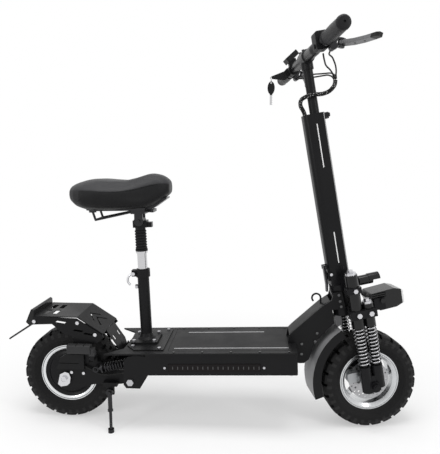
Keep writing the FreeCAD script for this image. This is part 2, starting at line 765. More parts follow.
def deck_tray():
    """The deck's hollow hull, with ears at its rear for the swing arm and the shock absorbers."""
    outer = box(DECK_REAR, DECK_FRONT, -DECK_HALF_WIDTH, DECK_HALF_WIDTH, -DECK_DEPTH, TRAY_TOP)
    outer = rounded(outer, 6, ALONG_Z)
    inner = box(DECK_REAR + DECK_WALL, DECK_FRONT - DECK_WALL, -TRAY_INNER, TRAY_INNER,
                -DECK_DEPTH + DECK_WALL, 0)
    hull = moved(outer.cut(inner), on_deck)
    outline = [(197, 148), (205, 137), (247, 137), (272, 179), (272, 238), (240, 240), (212, 236),
               (200, 222)]
    ears = [side_plate(outline, EAR_INNER, DECK_HALF_WIDTH), side_plate(outline, -DECK_HALF_WIDTH, -EAR_INNER)]
    parts = [hull] + ears
    for side in (-1, 1):
        bush = sorted((side * (ARM_OUTER + SEAT_GAP), side * (EAR_INNER + 1)))
        parts.append(cross_rod(PIVOT_X, PIVOT_Z, bush[0], bush[1], 12))
        stud = sorted((side * (SHOCK_Y - 9), side * (EAR_INNER + 1)))
        parts.append(cross_rod(SHOCK_FRONT_X, SHOCK_FRONT_Z, stud[0], stud[1], SHOCK_PIN))
        ring = sorted((side * (SHOCK_Y + 7 + SEAT_GAP), side * (EAR_INNER + 1)))
        parts.append(cross_rod(SHOCK_FRONT_X, SHOCK_FRONT_Z, ring[0], ring[1], 8))
    tray = joined(*parts)
    past = DECK_HALF_WIDTH + 12
    holes = [cross_rod(PIVOT_X, PIVOT_Z, -past, past, PIVOT_RADIUS + RUNNING_GAP)]
    for side in (-1, 1):
        y0, y1 = sorted((side * (DECK_HALF_WIDTH - 2), side * (DECK_HALF_WIDTH + 2)))
        recess = box(STRIP_START, STRIP_END, y0, y1, STRIP_MIDDLE - 12, STRIP_MIDDLE + 12)
        holes.append(moved(recess, on_deck))
    return tray.cut(Part.makeCompound(holes))


node("deck_tray", deck_tray())


def deck_plate():
    """The deck's top plate, swept back at its rear corners to points beside the rear wheel."""
    half = DECK_HALF_WIDTH + 2
    outline = [
        (DECK_FRONT, -half + 8), (DECK_FRONT, half - 8), (DECK_FRONT - 8, half), (WING_TIP, half),
        (WING_ROOT, WING_ROOT_HALF_WIDTH), (WING_ROOT + 4, 20), (WING_ROOT + 4, -20),
        (WING_ROOT, -WING_ROOT_HALF_WIDTH), (WING_TIP, -half), (DECK_FRONT - 8, -half),
    ]
    plate = flat_plate(outline, TRAY_TOP, 0)
    grip = flat_plate([(330, -92), (702, -92), (702, 92), (330, 92)], -1, 0)
    border = flat_plate([(331.5, -90.5), (700.5, -90.5), (700.5, 90.5), (331.5, 90.5)], -1, 0)
    return moved(plate.cut(grip.cut(border)), on_deck)


node("deck_plate", deck_plate())


def deck_electronics():
    """The battery pack on the deck's floor, with the motor controller behind it."""
    floor = -DECK_DEPTH + DECK_WALL
    half = TRAY_INNER - 7
    battery = rounded(box(372, 700, -half, half, floor, floor + 50), 4, ALONG_X)
    controller = box(276, 362, -60, 60, floor, floor + 36)
    fins = [box(280 + 12 * i, 286 + 12 * i, -56, 56, floor + 33, floor + 44) for i in range(7)]
    return [moved(battery, on_deck), moved(joined(controller, *fins), on_deck)]


node("deck_electronics", *deck_electronics())


def side_lights():
    """A clear strip light let into each side of the deck."""
    strips = []
    for side in (-1, 1):
        y0, y1 = sorted((side * (DECK_HALF_WIDTH - 2), side * (DECK_HALF_WIDTH + 1.5)))
        strip = box(STRIP_START + 0.5, STRIP_END - 0.5, y0, y1, STRIP_MIDDLE - 11.5, STRIP_MIDDLE + 11.5)
        strips.append(moved(rounded(strip, 4, ALONG_Y), on_deck))
    return strips


node("side_lights", *side_lights())


# Gooseneck from the deck to the steering head


def neck_sides():
    """Two side plates from the front of the deck up to the head tube."""
    outline = [(690, 262), (694, 288), (706, 301), (790, 379), (818, 399), (824, 428), (846, 430),
               (860, 374), (852, 351), (836, 338), (768, 264), (761, 233), (754, 212), (740, 200),
               (726, 199), (700, 204)]
    plate = side_plate(outline, NECK_Y, NECK_Y + NECK_SHEET)
    deck = moved(box(0, DECK_FRONT, -200, 200, -200, 0), on_deck)
    steer_room = []
    for s0, s1 in ((HEAD_TUBE_HALF - 0.5, 90), (-90, 0.5 - HEAD_TUBE_HALF)):
        steer_room.append(moved(box(-NECK_NOTCH, 60, -60, 60, s0, s1), head_lean))
    return both_sides(plate.cut(deck).cut(Part.makeCompound(steer_room)))


node("neck_sides", *neck_sides())


def neck_cover():
    """The bent cover between the neck plates, with its bag hook, and the toe plate on the deck."""
    line = [(694, 289), (706, 301.5), (790, 379.5), (813, 396)]
    cover = bent_sheet(line, 4, NECK_Y - SEAT_GAP)
    hook = arc_rod(V(HOOK_X, 0, HOOK_Z), HOOK_REACH, 0, 230, HOOK_WIRE)
    stem = rod(V(HOOK_X + HOOK_REACH, 0, HOOK_Z - 18), V(HOOK_X + HOOK_REACH, 0, HOOK_Z), HOOK_WIRE)
    return joined(cover, stem, hook)


node("neck_cover", neck_cover())


def head_tube():
    """The head tube in its block between the neck plates, with a bearing at each end."""
    half = HEAD_TUBE_HALF
    barrel = rod(V(0, 0, -half), V(0, 0, half), 25)
    block = box(-27, -6, -NECK_Y, NECK_Y, -half + 2, half - 2)
    neck = joined(barrel, block)
    neck = neck.cut(rod(V(0, 0, -half - 1), V(0, 0, half + 1), 17))
    bearings = []
    for low in (-half, half - BEARING_HEIGHT):
        seat = rod(V(0, 0, low), V(0, 0, low + BEARING_HEIGHT), BEARING_RADIUS)
        neck = neck.cut(seat)
        bearings.append(tube(V(0, 0, low), V(0, 0, low + BEARING_HEIGHT), BEARING_RADIUS - RUNNING_GAP,
                             STEERER_RADIUS + RUNNING_GAP))
    return [moved(shape, head_lean) for shape in [neck] + bearings]


node("head_tube", *head_tube())


# Seat pillar, in the deck's slope
def seat_pillar():
    """The base plate, its flange and the seat tube with a split clamp at its top."""
    base = flat_plate([(196, -50), (226, -88), (316, -88), (316, 88), (226, 88), (196, 50)], 0, 3)
    flange = rounded(box(SEAT_U - 42, SEAT_U + 42, -46, 46, 3, 9), 8, ALONG_Z)
    foot = turned([(0, 8), (30, 8), (22, 16), (SEAT_TUBE_RADIUS, 26), (0, 26)], V(SEAT_U, 0, 0), ALONG_Z)
    outer = rod(V(SEAT_U, 0, 8), V(SEAT_U, 0, SEAT_TUBE_TOP), SEAT_TUBE_RADIUS)
    collar = rod(V(SEAT_U, 0, SEAT_TUBE_TOP - 26), V(SEAT_U, 0, SEAT_TUBE_TOP - 2), SEAT_TUBE_RADIUS + 4)
    lugs = box(SEAT_U - 34, SEAT_U - 14, -10, 10, SEAT_TUBE_TOP - 24, SEAT_TUBE_TOP - 4)
    pillar = joined(base, flange, foot, outer, collar, lugs)
    bore = rod(V(SEAT_U, 0, SEAT_TUBE_FLOOR), V(SEAT_U, 0, SEAT_TUBE_TOP + 1),
               SEAT_POST_RADIUS + RUNNING_GAP)
    slit = box(SEAT_U - 40, SEAT_U - 5, -1.5, 1.5, SEAT_TUBE_TOP - 60, SEAT_TUBE_TOP + 1)
    skewer = cross_rod(SEAT_U - 27, SEAT_TUBE_TOP - 14, -12, 12, 3 + RUNNING_GAP)
    return moved(pillar.cut(bore).cut(slit).cut(skewer), on_deck)


node("seat_pillar", seat_pillar())


def frame_fasteners():
    """Bolts and screws of the deck, neck, pillar and swing arm pivot."""
    pieces = []
    for i in range(5):
        for side in (-1, 1):
            seat = V(350 + 85 * i, side * (DECK_HALF_WIDTH - 7), 0)
            pieces.append(moved(rod(seat, seat + V(0, 0, 1.6), 3.4), on_deck))
    for u, y in ((216, -60), (302, -79), (302, 79), (216, 60)):
        pieces.append(moved(hex_bolt(V(u, y, 3), ALONG_Z, 5.5, 4), on_deck))
    for x in (-32, 32):
        for y in (-37, 37):
            pieces.append(moved(hex_bolt(V(SEAT_U + x, y, 9), ALONG_Z, 6, 6), on_deck))
    for side in (-1, 1):
        way = V(0, side, 0)
        for x, z in ((777, 297), (772, 271), (732, 230), (732, 262)):
            pieces.append(hex_bolt(V(x, side * (NECK_Y + NECK_SHEET), z), way, 4.5, 3))
        for x, z in ((838, 416), (842, 397), (846, 381)):
            pieces.append(hex_bolt(V(x, side * (NECK_Y + NECK_SHEET), z), way, 4.5, 3))
        pieces.append(hex_bolt(V(PIVOT_X, side * DECK_HALF_WIDTH, PIVOT_Z), way, 11, 6))
        for u in (STRIP_START - 10, STRIP_END + 10):
            seat = V(u, side * DECK_HALF_WIDTH, STRIP_MIDDLE)
            pieces.append(moved(hex_bolt(seat, way, 4, 2.5), on_deck))
        foot = V(DECK_FRONT - 18, side * (DECK_HALF_WIDTH - 24), -DECK_DEPTH)
        pieces.append(moved(rod(foot, foot - V(0, 0, 10), 6), on_deck))
    pieces.append(cross_rod(PIVOT_X, PIVOT_Z, -DECK_HALF_WIDTH, DECK_HALF_WIDTH, PIVOT_RADIUS))
    seat = V(SEAT_U - SEAT_TUBE_RADIUS - SEAT_GAP, 0, 176)
    pieces.append(moved(hex_bolt(seat, V(-1, 0, 0), 7, 8), on_deck))
    return pieces


node("frame_fasteners", *frame_fasteners())


# Seat post, its sprung rod and bellows, and the saddle on its clamp
def deck_rod(w0, w1, radius):
    return rod(V(SEAT_U, 0, w0), V(SEAT_U, 0, w1), radius)


BELLOWS_SEAT = BELLOWS_BOTTOM - SEAT_GAP


def seat_post():
    """The bright post, hollow for the sprung rod, with a stop ring under the bellows."""
    post = deck_rod(SEAT_POST_FOOT, BELLOWS_SEAT, SEAT_POST_RADIUS)
    ring = deck_rod(BELLOWS_SEAT - 6, BELLOWS_SEAT, BELLOWS_RADIUS - 1)
    bore = deck_rod(BELLOWS_SEAT - 150, BELLOWS_SEAT + 1, SEAT_ROD_RADIUS + RUNNING_GAP)
    return moved(joined(post, ring).cut(bore), on_deck)


def seat_bellows():
    """The ribbed rubber sleeve round the sprung rod."""
    start = BELLOWS_BOTTOM
    step = (BELLOWS_TOP - BELLOWS_BOTTOM - 6) / BELLOWS_RIBS
    outer = deck_rod(start, start + 6, BELLOWS_RADIUS)
    parts = [outer]
    for i in range(BELLOWS_RIBS):
        low = start + 6 + step * i
        circles = []
        for height, radius in ((0, 15.5), (0.32, BELLOWS_RADIUS - 1), (0.68, BELLOWS_RADIUS - 1), (1, 15.5)):
            centre = V(SEAT_U, 0, low + step * height)
            circles.append(Part.Wire(Part.Circle(centre, ALONG_Z, radius).toShape()))
        parts.append(Part.makeLoft(circles, True, True))
    bellows = joined(*parts).cut(deck_rod(start - 1, BELLOWS_TOP + 1, SEAT_ROD_RADIUS + 1.5))
    return moved(bellows, on_deck)


def seat_rod():
    """The sprung rod and the clamp's lower half on its top."""
    shaft = deck_rod(BELLOWS_SEAT - 110, TILT_AXIS_W - 12, SEAT_ROD_RADIUS)
    cap = deck_rod(BELLOWS_TOP + SEAT_GAP, BELLOWS_TOP + 10, 16)
    head = box(SEAT_U - 20, SEAT_U + 24, -13, 13, BELLOWS_TOP + 8, TILT_AXIS_W + 2)
    nose = box(SEAT_U + 20, SEAT_U + 38, -9, 9, BELLOWS_TOP + 8, BELLOWS_TOP + 24)
    saddle_seat = cross_rod(SEAT_U, TILT_AXIS_W, -13, 13, 15)
    piece = joined(shaft, cap, head, nose, saddle_seat)
    room = cross_rod(SEAT_U, TILT_AXIS_W, -14, 14, TILT_BOLT + RUNNING_GAP)
    return moved(piece.cut(room), on_deck)


node("seat_post", seat_post())
node("seat_bellows", seat_bellows())
node("seat_rod", seat_rod())


def seat_axis_world(w):
    return deck_point(SEAT_U, 0, w)


TILT_CENTRE = seat_axis_world(TILT_AXIS_W)


def saddle_frame():
    """The saddle's rails with their rear buffers, and the clamp cheeks on the tilt bolt."""
    cx, cz = TILT_CENTRE.x, TILT_CENTRE.z
    seat = SADDLE_PAN_LOW - SEAT_GAP
    cheeks = []
    for side in (-1, 1):
        y0, y1 = sorted((side * (13 + SEAT_GAP), side * 19))
        cheeks.append(cross_rod(cx, cz, y0, y1, 15))
        cheeks.append(box(cx - 13, cx + 13, y0, y1, cz, seat - 4))
    saddle_block = box(cx - 22, cx + 22, -26, 26, seat - 14, seat)
    bolt = cross_rod(cx, cz, -24, 24, TILT_BOLT)
    rails = []
    for side in (-1, 1):
        corners = [V(cx - 136, side * 34, seat - 6), V(cx - 128, side * 34, cz + 6),
                   V(cx - 20, side * 22, seat - 8), V(cx + 46, side * 20, seat - 5)]
        rails += [rod(corners[i], corners[i + 1], RAIL_RADIUS) for i in range(3)]
        rails += [Part.makeSphere(RAIL_RADIUS, corner) for corner in corners[1:3]]
        rails.append(rod(V(cx - 136, side * 34, seat - 8), V(cx - 136, side * 34, seat), 11))
    cross = rod(V(cx - 128, -34, cz + 6), V(cx - 128, 34, cz + 6), RAIL_RADIUS)
    foot = box(cx + 40, cx + 48, -24, 24, seat - 9, seat)
    return [joined(saddle_block, bolt, cross, foot, *(cheeks + rails))]


def saddle_section(x, half_width, low, high, crown):
    """One closed cross-section of the saddle, of lines and arcs: flat pan, drawn-in sides and crown."""
    side_high = high - crown
    edges = [
        Part.LineSegment(V(x, half_width * 0.8, low), V(x, -half_width * 0.8, low)).toShape(),
        Part.Arc(V(x, -half_width * 0.8, low), V(x, -half_width, (low + side_high) / 2),
                 V(x, -half_width * 0.86, side_high)).toShape(),
        Part.Arc(V(x, -half_width * 0.86, side_high), V(x, 0, high),
                 V(x, half_width * 0.86, side_high)).toShape(),
        Part.Arc(V(x, half_width * 0.86, side_high), V(x, half_width, (low + side_high) / 2),
                 V(x, half_width * 0.8, low)).toShape(),
    ]
    return Part.Wire(edges)


SADDLE_STATIONS = [
    # distance forward, half width, lowest, highest, crown depth
    (SADDLE_REAR, 56, 700, 736, 14), (58, 88, 688, 749, 20), (95, 113, SADDLE_PAN_TOP, 759, 28),
    (140, 118, SADDLE_PAN_TOP, 758, 28), (195, 104, SADDLE_PAN_TOP, 756, 26),
    (245, 82, SADDLE_PAN_TOP, 766, 26), (285, 64, 683, 777, 26), (314, 52, 704, 771, 22),
    (SADDLE_FRONT, 32, 722, 752, 10),
]


def saddle_cushion():
    """The padded saddle: a crowned top over drawn-in sides, higher at its nose."""
    sections = [saddle_section(*station) for station in SADDLE_STATIONS]
    return Part.makeLoft(sections, True, False)


def saddle_pan():
    """The moulded pan under the padding."""
    outline = [(88, -60), (120, -82), (200, -72), (262, -48), (262, 48), (200, 72), (120, 82), (88, 60)]
    pan = flat_plate(outline, SADDLE_PAN_LOW, SADDLE_PAN_TOP)
    strip = [(256, SADDLE_PAN_LOW), (274, SADDLE_PAN_LOW), (286, 675), (316, 696), (324, 702), (323, 706),
             (314, 703), (285, 682), (262, SADDLE_PAN_TOP)]
    return joined(pan, side_plate(strip, -26, 26)).cut(shifted(CUSHION, V(0, 0, -SEAT_GAP)))


CUSHION = saddle_cushion()
node("saddle_frame", *(saddle_frame() + [saddle_pan()]))
node("saddle_cushion", CUSHION)


def release_lever():
    """The curved quick-release lever on its cam pin behind the seat tube."""
    centre = V(SEAT_U - 27, 0, SEAT_TUBE_TOP - 14)
    pin = rod(centre + V(0, -16, 0), centre + V(0, 17, 0), 3)
    nut = rod(centre + V(0, 10.3, 0), centre + V(0, 17, 0), 5.5)
    cam = rod(centre + V(0, -19, 0), centre + V(0, -10.3, 0), 5.5)
    handle = arc_rod(centre + V(0, -15, -19), 19, 90, 235, 3.4)
    return moved(joined(pin, nut, cam, handle), on_deck)


node("release_lever", release_lever())


# Front assembly, built straight in the steering frame and then set on the head
def on_front(*shapes):
    return [moved(shape, on_head) for shape in shapes]


def s_rod(f, y, s0, s1, radius):
    return rod(V(f, y, s0), V(f, y, s1), radius)


LEGS = [(REAR_LEG_F, 80.0, 19.0), (FRONT_LEG_F, -12.0, 17.0)]
UPPER_CROWN_LOW = HEAD_TUBE_HALF + SEAT_GAP
UPPER_CROWN_HIGH = UPPER_CROWN_LOW + CROWN_THICKNESS
LOWER_CROWN_HIGH = -UPPER_CROWN_LOW
LOWER_CROWN_LOW = LOWER_CROWN_HIGH - 24.0
SPRING_SEAT_S = SPRING_TOP_S
LOWER_TUBE_TOP = SPRING_BOTTOM_S - 6.0
WHEEL_F = wheel_in_head_frame().x
WHEEL_S = wheel_in_head_frame().z
LEG_FACE = LEG_SPREAD + 17.0


def crown(front, s0, s1):
    """A crown: a round middle that turns between the neck plates, and an arm to the legs each side."""
    tip = LEG_SPREAD + 22
    outline = [(0, -20), (8, -CROWN_MIDDLE), (-4, -60), (-4, -tip), (front, -tip), (front, -46), (28, -20),
               (28, 20), (front, 46), (front, tip), (-4, tip), (-4, 60), (8, CROWN_MIDDLE), (0, 20)]
    return joined(rounded(flat_plate(outline, s0, s1), 3, ALONG_Z), s_rod(0, 0, s0, s1, CROWN_MIDDLE))


def fork_crowns():
    """Both crowns on the steerer tube, bored for the legs, with the lamp arm and the fold's base."""
    lower = crown(FRONT_LEG_F + 20, LOWER_CROWN_LOW, LOWER_CROWN_HIGH)
    upper = crown(REAR_LEG_F + 20, UPPER_CROWN_LOW, UPPER_CROWN_HIGH)
    steerer = s_rod(0, 0, LOWER_CROWN_LOW, STEM_BASE_S - 10, STEERER_RADIUS)
    base = rounded(box(-27, 29, -25, 25, UPPER_CROWN_HIGH, STEM_BASE_S), 5, ALONG_Z)
    knuckles = []
    for side in (-1, 1):
        y0, y1 = sorted((side * 8, side * 16))
        knuckles.append(cross_rod(FOLD_F, FOLD_S, y0, y1, KNUCKLE))
        knuckles.append(box(FOLD_F - KNUCKLE, FOLD_F + KNUCKLE, y0, y1, STEM_BASE_S - 16, FOLD_S))
    arm = box(26, 96, -9, 9, LAMP_S - 26, LAMP_S - 16)
    yoke = box(86, 96, -LAMP_HALF - 7, LAMP_HALF + 7, LAMP_S - 26, LAMP_S - 20)
    ears = [box(86, LAMP_F + 8, *sorted((side * (LAMP_HALF + 1), side * (LAMP_HALF + 7))),
                LAMP_S - 26, LAMP_S + 8) for side in (-1, 1)]
    spot_arm = box(26, SPOT_F - SEAT_GAP, -8, 8, UPPER_CROWN_LOW + 1, UPPER_CROWN_LOW + 18)
    body = joined(lower, upper, steerer, base, arm, yoke, spot_arm, *(knuckles + ears))
    tools = [cross_rod(FOLD_F, FOLD_S, -30, 30, FOLD_PIN + RUNNING_GAP),
             cross_rod(LAMP_F, LAMP_S, -80, 80, LAMP_PIN + RUNNING_GAP)]
    for side in (-1, 1):
        y = side * LEG_SPREAD
        tools.append(s_rod(REAR_LEG_F, y, -100, 100, LEGS[0][2] + 0.02))
        tools.append(s_rod(FRONT_LEG_F, y, -100, -10, LEGS[1][2] + 0.02))
        y0, y1 = sorted((side * 16, side * 26))
        tools.append(cross_rod(FOLD_F, FOLD_S, y0, y1, KNUCKLE + SEAT_GAP))
    return body.cut(Part.makeCompound(tools))


node("fork_crowns", *on_front(fork_crowns()))


def fork_stanchions():
    """The four upper leg tubes, two on each side, each with the inner tube that slides below it."""
    legs = []
    for side in (-1, 1):
        for f, top, radius in LEGS:
            y = side * LEG_SPREAD
            shell = s_rod(f, y, SPRING_SEAT_S, top, radius)
            inner = s_rod(f, y, SPRING_BOTTOM_S - 30, SPRING_SEAT_S + 1, INNER_LEG)
            legs.append(joined(shell, inner))
    return legs


node("fork_stanchions", *on_front(*fork_stanchions()))


def front_fasteners():
    """Leg caps, pinch bolts, the fold pin and the lamp's side bolts."""
    pieces = []
    for side in (-1, 1):
        y = side * LEG_SPREAD
        way = V(0, side, 0)
        for f, top, radius in LEGS:
            pieces.append(joined(s_rod(f, y, top, top + 6, radius - 3),
                                 hex_bolt(V(f, y, top + 6), ALONG_Z, 9, 8)))
            bolt_s = (LOWER_CROWN_LOW + LOWER_CROWN_HIGH) / 2
            pieces.append(hex_bolt(V(f, side * (LEG_SPREAD + 22), bolt_s), way, 8, 6))
        pieces.append(hex_bolt(V(REAR_LEG_F, side * (LEG_SPREAD + 22), UPPER_CROWN_LOW + 9), way, 7, 5))
        for f, s in ((14, 60), (18, 50)):
            pieces.append(hex_bolt(V(f, side * 25, s), way, 4, 2.5))
    pieces.append(cross_rod(FOLD_F, FOLD_S, -24, 24, FOLD_PIN))
    return pieces


node("front_fasteners", *on_front(*front_fasteners()))


def front_fender():
    """The curved mudguard over the back of the front tyre, on a strap from the lower crown."""
    centre = V(WHEEL_F + 4, 0, WHEEL_S + 10)
    outer, inner = 183.0, 180.0
    hoop = cross_tube(centre.x, centre.z, -48, 48, outer, inner)
    keep = [(0, 0)]
    for degrees in (188, 175, 150, 128, 112):
        angle = math.radians(degrees)
        keep.append((260 * math.cos(angle), 260 * math.sin(angle)))
    wedge = side_plate([(centre.x + x, centre.z + z) for x, z in keep], -60, 60)
    skirt = cross_tube(centre.x, centre.z, 45, 48, outer, outer - 26)
    fender = joined(hoop, skirt, mirrored(skirt)).common(wedge)
    strap_f = -20.0
    strap = box(strap_f - 9, strap_f + 9, -12, 12, LOWER_CROWN_LOW - 40, LOWER_CROWN_LOW)
    strap = strap.cut(cross_rod(centre.x, centre.z, -70, 70, outer - 1))
    return joined(fender, strap)


node("front_fender", *on_front(front_fender()))


def lamp_shell(half_width, outline, wall):
    return rounded(side_plate(outline, -half_width, half_width), wall, ALONG_Y)


def headlight():
    """The main lamp: a finned housing with its lens, hung between two side bolts."""
    outline = [(70, -6), (78, 10), (150, 14), (172, 6), (176, -34), (150, -44), (98, -46), (80, -30)]
    outline = [(f + 6, s - 10) for f, s in outline]
    body = lamp_shell(LAMP_HALF, outline, 3)
    body = body.cut(box(60, 100, -12, 12, -80, LAMP_S - 6))
    body = body.cut(box(60, 104, -40, 40, LAMP_S - 40, LAMP_S - 14))
    fins = [box(84, 128, -LAMP_HALF - 1, LAMP_HALF + 1, s, s + 2.5) for s in (-16, -10, -4)]
    body = body.cut(Part.makeCompound(fins))
    lens = box(176.5, 184, -28, 28, -40, -8)
    pins = [cross_rod(LAMP_F, LAMP_S, *sorted((side * (LAMP_HALF - 4), side * (LAMP_HALF + 9))), LAMP_PIN)
            for side in (-1, 1)]
    heads = [hex_bolt(V(LAMP_F, side * (LAMP_HALF + 7.3), LAMP_S), V(0, side, 0), 8, 5) for side in (-1, 1)]
    body = joined(body, *(pins + heads))
    return [body.cut(lens), lens]


def spot_lamp():
    """The small lamp above, under its visor."""
    body = rod(V(SPOT_F, 0, SPOT_S), V(SPOT_F + 42, 0, SPOT_S), 15)
    visor = tube(V(SPOT_F + 30, 0, SPOT_S), V(SPOT_F + 64, 0, SPOT_S), 17, 14)
    visor = visor.common(box(SPOT_F, SPOT_F + 80, -20, 20, SPOT_S - 1, SPOT_S + 80))
    return [joined(body, visor)]


node("headlight", *on_front(*headlight()))
node("spot_lamp", *on_front(*spot_lamp()))


def fork_lowers():
    """The sliding lower tubes, two on each side joined at the axle."""
    sides = []
    for side in (-1, 1):
        y = side * LEG_SPREAD
        tubes = []
        for f, foot in ((REAR_LEG_F, WHEEL_S - 16), (FRONT_LEG_F, WHEEL_S - 4)):
            tubes.append(s_rod(f, y, foot, LOWER_TUBE_TOP, 17))
            tubes.append(s_rod(f, y, LOWER_TUBE_TOP, LOWER_TUBE_TOP + 4, 17.3))
        y0, y1 = sorted((side * (LEG_SPREAD - 8), side * (LEG_SPREAD + 12)))
        tubes.append(box(REAR_LEG_F, FRONT_LEG_F, y0, y1, WHEEL_S - 14, WHEEL_S + 34))
        boss = sorted((side * (LEG_SPREAD - 8), side * LEG_FACE))
        tubes.append(cross_rod(WHEEL_F, WHEEL_S, boss[0], boss[1], 16))
        lower = joined(*tubes)
        for f in (REAR_LEG_F, FRONT_LEG_F):
            lower = lower.cut(s_rod(f, y, SPRING_BOTTOM_S - 60, LOWER_TUBE_TOP + 5, INNER_LEG + RUNNING_GAP))
        sides.append(lower.cut(cross_rod(WHEEL_F, WHEEL_S, -120, 120, AXLE_RADIUS + RUNNING_GAP)))
    axle = cross_rod(WHEEL_F, WHEEL_S, -LEG_FACE - 10, LEG_FACE + 10, AXLE_RADIUS)
    spacers = [cross_tube(WHEEL_F, WHEEL_S, *sorted((side * 25.3, side * (LEG_SPREAD - 17.3))), 10.6,
                          AXLE_RADIUS + RUNNING_GAP) for side in (-1, 1)]
    nuts = [hex_bolt(V(WHEEL_F, side * (LEG_FACE + SEAT_GAP), WHEEL_S), V(0, side, 0), 12, 8)
            .cut(cross_rod(WHEEL_F, WHEEL_S, -120, 120, AXLE_RADIUS + RUNNING_GAP)) for side in (-1, 1)]
    return sides + [axle] + spacers + nuts


node("fork_lowers", *on_front(*fork_lowers()))
FORK_SPRING_LENGTH = SPRING_SEAT_S - LOWER_TUBE_TOP - 4 - 2 * SEAT_GAP
node("fork_springs", *on_front(*[
    coil_spring(V(f, side * LEG_SPREAD, LOWER_TUBE_TOP + 4 + SEAT_GAP), ALONG_Z, FORK_SPRING_LENGTH,
                SPRING_RADIUS - SPRING_WIRE / 2 + 1.5, SPRING_WIRE, SPRING_TURNS)
    for side in (-1, 1) for f in (REAR_LEG_F, FRONT_LEG_F)]))


def front_caliper():
    """The front brake's caliper round its disc, on an arm from the near leg."""
    f = WHEEL_F - 48
    s = WHEEL_S + 24
    body = rounded(box(f - 20, f + 16, -46, -15, s - 14, s + 16), 4, ALONG_Y)
    slot = cross_rod(WHEEL_F, WHEEL_S, FRONT_DISC_Y - 2.5, FRONT_DISC_Y + 4.5, DISC_RADIUS + 3)
    arm = box(f + 8, REAR_LEG_F + 2, -LEG_SPREAD + 8 + SEAT_GAP, -40, s - 8, s + 8)
    leg_room = s_rod(REAR_LEG_F, -LEG_SPREAD, WHEEL_S - 60, WHEEL_S + 60, 17 + SEAT_GAP)
    rim_room = cross_tube(WHEEL_F, WHEEL_S, -37, -10, 110, RIM_RADIUS - 22)
    return [joined(body, arm).cut(slot).cut(leg_room).cut(rim_room)]


node("front_caliper", *on_front(*front_caliper()))

FRONT_AXLE_LOCAL = V(WHEEL_F, 0, WHEEL_S)
node("front_tyre", *on_front(shifted(TYRE, FRONT_AXLE_LOCAL)))
node("front_rim", *on_front(shifted(front_wheel(), FRONT_AXLE_LOCAL)))
node("front_disc", *on_front(shifted(brake_disc(FRONT_DISC_Y, 11.0, 22), FRONT_AXLE_LOCAL)))


# Stem
def stem_column():
    """The hollow folding column, round-backed, with its hinge knuckles and the clamp at its top."""
    outer = box(-STEM_DEPTH / 2, STEM_DEPTH / 2, -STEM_WIDTH / 2, STEM_WIDTH / 2,
                STEM_BASE_S + SEAT_GAP, STEM_TOP_S)
    back = [e for e in outer.Edges if e.Length > 100 and e.CenterOfMass.x < 0]
    outer = outer.makeFillet(19, back)
    inner = rounded(box(-STEM_DEPTH / 2 + STEM_WALL, STEM_DEPTH / 2 - STEM_WALL,
                        -STEM_WIDTH / 2 + STEM_WALL, STEM_WIDTH / 2 - STEM_WALL, 96, STEM_TOP_S - 36),
                    13, ALONG_Z)
    column = outer.cut(inner).cut(box(-40, FOLD_F, -40, 40, 0, FOLD_S))
    knuckles = []
    for side in (-1, 1):
        y0, y1 = sorted((side * (8 - SEAT_GAP), side * (16 + SEAT_GAP)))
        column = column.cut(cross_rod(FOLD_F, FOLD_S, y0, y1, KNUCKLE + SEAT_GAP))
        column = column.cut(box(-40, FOLD_F + KNUCKLE + SEAT_GAP, y0, y1, 0, FOLD_S))
        y0, y1 = sorted((side * (16 + SEAT_GAP), side * 25))
        knuckles.append(cross_rod(FOLD_F, FOLD_S, y0, y1, KNUCKLE))
        y0, y1 = sorted((side * (LATCH_HALF + SEAT_GAP), side * (LATCH_HALF + 5)))
        knuckles.append(box(LATCH_F - 5, -STEM_DEPTH / 2 + 3, y0, y1, LATCH_S - 6, LATCH_S + 6))
        y0, y1 = sorted((side * 2, side * 11))
        knuckles.append(box(STEM_DEPTH / 2 - 2, CLAMP_F + 8, y0, y1, CLAMP_S - 9, CLAMP_S + 9))
    column = joined(column, *knuckles)
    tools = [
        s_rod(BAR_F, 0, STEM_TOP_S - 40, STEM_TOP_S + 1, POST_RADIUS + RUNNING_GAP),
        box(BAR_F, STEM_DEPTH, -2, 2, STEM_TOP_S - 30, STEM_TOP_S + 1),
        cross_rod(FOLD_F, FOLD_S, -30, 30, FOLD_PIN + RUNNING_GAP),
        cross_rod(LATCH_F, LATCH_S, -20, 20, 3 + RUNNING_GAP),
        cross_rod(CLAMP_F, CLAMP_S, -20, 20, 3 + RUNNING_GAP),
        rod(V(LOOM_END.x, LOOM_END.y, STEM_TOP_S - 20), V(LOOM_END.x, LOOM_END.y, STEM_TOP_S + 1), 7.5),
    ]
    return column.cut(Part.makeCompound(tools))


LOOM_END = V(-17.0, 7.0, STEM_TOP_S - 6)
node("stem_column", *on_front(stem_column()))


def latch_lever():
    """The long fold latch lever behind the stem, hung from its top pin."""
    pin = cross_rod(LATCH_F, LATCH_S, -LATCH_HALF - 7, LATCH_HALF + 7, 3)
    bar = side_plate([(LATCH_F - 4, LATCH_S + 5), (LATCH_F + 4, LATCH_S + 5), (LATCH_F + 2.5, 46),
                      (LATCH_F - 1.5, 26), (LATCH_F - 6, 26), (LATCH_F - 4, 46)], -LATCH_HALF, LATCH_HALF)
    return joined(bar, pin)


def clamp_knob():
    """The knob and bolt that pinch the column's top round the handlebar post."""
    bolt = cross_rod(CLAMP_F, CLAMP_S, -24, 15, 3)
    knob = cross_rod(CLAMP_F, CLAMP_S, -26, -11.3, 8)
    flutes = []
    for i in range(6):
        angle = math.radians(60 * i)
        flutes.append(cross_rod(CLAMP_F + 9.5 * math.cos(angle), CLAMP_S + 9.5 * math.sin(angle), -27, -11, 2.5))
    nut = hex_bolt(V(CLAMP_F, 11.3, CLAMP_S), ALONG_Y, 6, 4)
    return joined(bolt, knob.cut(Part.makeCompound(flutes)), nut)


